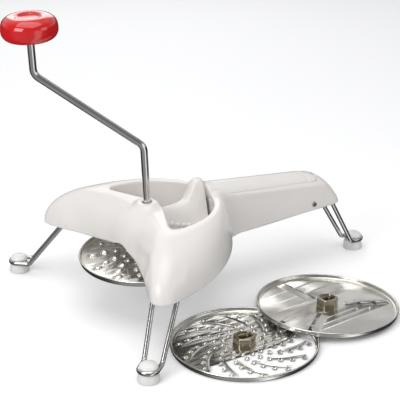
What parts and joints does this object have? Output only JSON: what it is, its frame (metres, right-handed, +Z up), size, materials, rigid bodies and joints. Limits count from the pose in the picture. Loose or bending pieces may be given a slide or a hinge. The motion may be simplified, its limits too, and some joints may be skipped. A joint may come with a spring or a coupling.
{
  "type": "rotary cabbage shredder",
  "caption": "Hand cranked rotary shredder: half-moon hopper with hinged pusher over a turning grating disc, on folding wire legs, with spare shredding and slicing discs.",
  "frame": {"origin": "on the table, under the middle of the whole set's bounding box", "axes": "+Z up from the table, +X from the crank towards the handle's end, +Y towards the left front leg"},
  "size_m": [0.3844, 0.3428, 0.2931],
  "materials": {
    "white_body": "smooth warm white, softly glossy",
    "white_lever": "smooth warm white, softly glossy",
    "white_foot": "smooth white",
    "nylon": "natural nylon",
    "chrome_rod": "bright chrome",
    "chrome_wire": "bright chrome",
    "steel_pin": "plain steel",
    "steel_ring": "zinc plated",
    "disc_steel": "bright polished sheet",
    "hub_steel": "plated pressing",
    "red_knob": "glossy red"
  },
  "bodies": {
    "body": {"main_body": "white_body", "crank_bush": "nylon", "pusher_hinge_pin": "steel_pin"},
    "pusher": {"pusher_lever": "white_lever"},
    "crank": {"crank_rod": "chrome_rod", "crank_cross_pin": "steel_pin", "crank_stop_ring": "steel_ring", "knob_retaining_washer": "steel_ring", "fitted_disc": "disc_steel", "fitted_disc_hub": "hub_steel"},
    "knob": {"crank_knob": "red_knob", "knob_cap": "red_knob"},
    "left_leg": {"left_leg_wire": "chrome_wire", "left_foot": "white_foot"},
    "right_leg": {"right_leg_wire": "chrome_wire", "right_foot": "white_foot"},
    "rear_leg": {"rear_leg_wire": "chrome_wire", "rear_foot": "white_foot"},
    "spare_shredding_disc": {"shredding_disc": "disc_steel", "shredding_disc_hub": "hub_steel"},
    "spare_slicing_disc": {"slicing_disc": "disc_steel", "slicing_disc_hub": "hub_steel"}
  },
  "joints": [
    {"name": "crank_spin", "type": "hinge", "parent": "body", "child": "crank", "pos_m": [-0.07195, 0.02457, 0.0514], "axis": [-0.0454, 0, 0.999], "continuous": true},
    {"name": "knob_spin", "type": "hinge", "parent": "crank", "child": "knob", "pos_m": [-0.16517, 0.07621, 0.2681], "axis": [-0.0454, 0, 0.999], "continuous": true},
    {"name": "pusher_lift", "type": "hinge", "parent": "body", "child": "pusher", "pos_m": [0.1075, 0.02457, 0.08958], "axis": [0, 1, 0], "range_deg": [0, 70]},
    {"name": "left_leg_fold", "type": "hinge", "parent": "body", "child": "left_leg", "pos_m": [-0.10778, 0.12107, 0.06879], "axis": [-0.6649, -0.7469, 0], "range_deg": [0, 80]},
    {"name": "right_leg_fold", "type": "hinge", "parent": "body", "child": "right_leg", "pos_m": [-0.10778, -0.07193, 0.06879], "axis": [0.6649, -0.7469, 0], "range_deg": [0, 20]},
    {"name": "rear_leg_fold", "type": "hinge", "parent": "body", "child": "rear_leg", "pos_m": [0.11181, 0.02457, 0.07196], "axis": [0, 1, 0], "range_deg": [0, 112]},
    {"name": "shredding_disc_slide", "type": "slide", "parent": "body", "child": "spare_shredding_disc", "axis": [0, -1, 0], "range_m": [0, 0.1]},
    {"name": "slicing_disc_lift", "type": "slide", "parent": "spare_shredding_disc", "child": "spare_slicing_disc", "axis": [0, 0, 1], "range_m": [0, 0.04]}
  ]
}
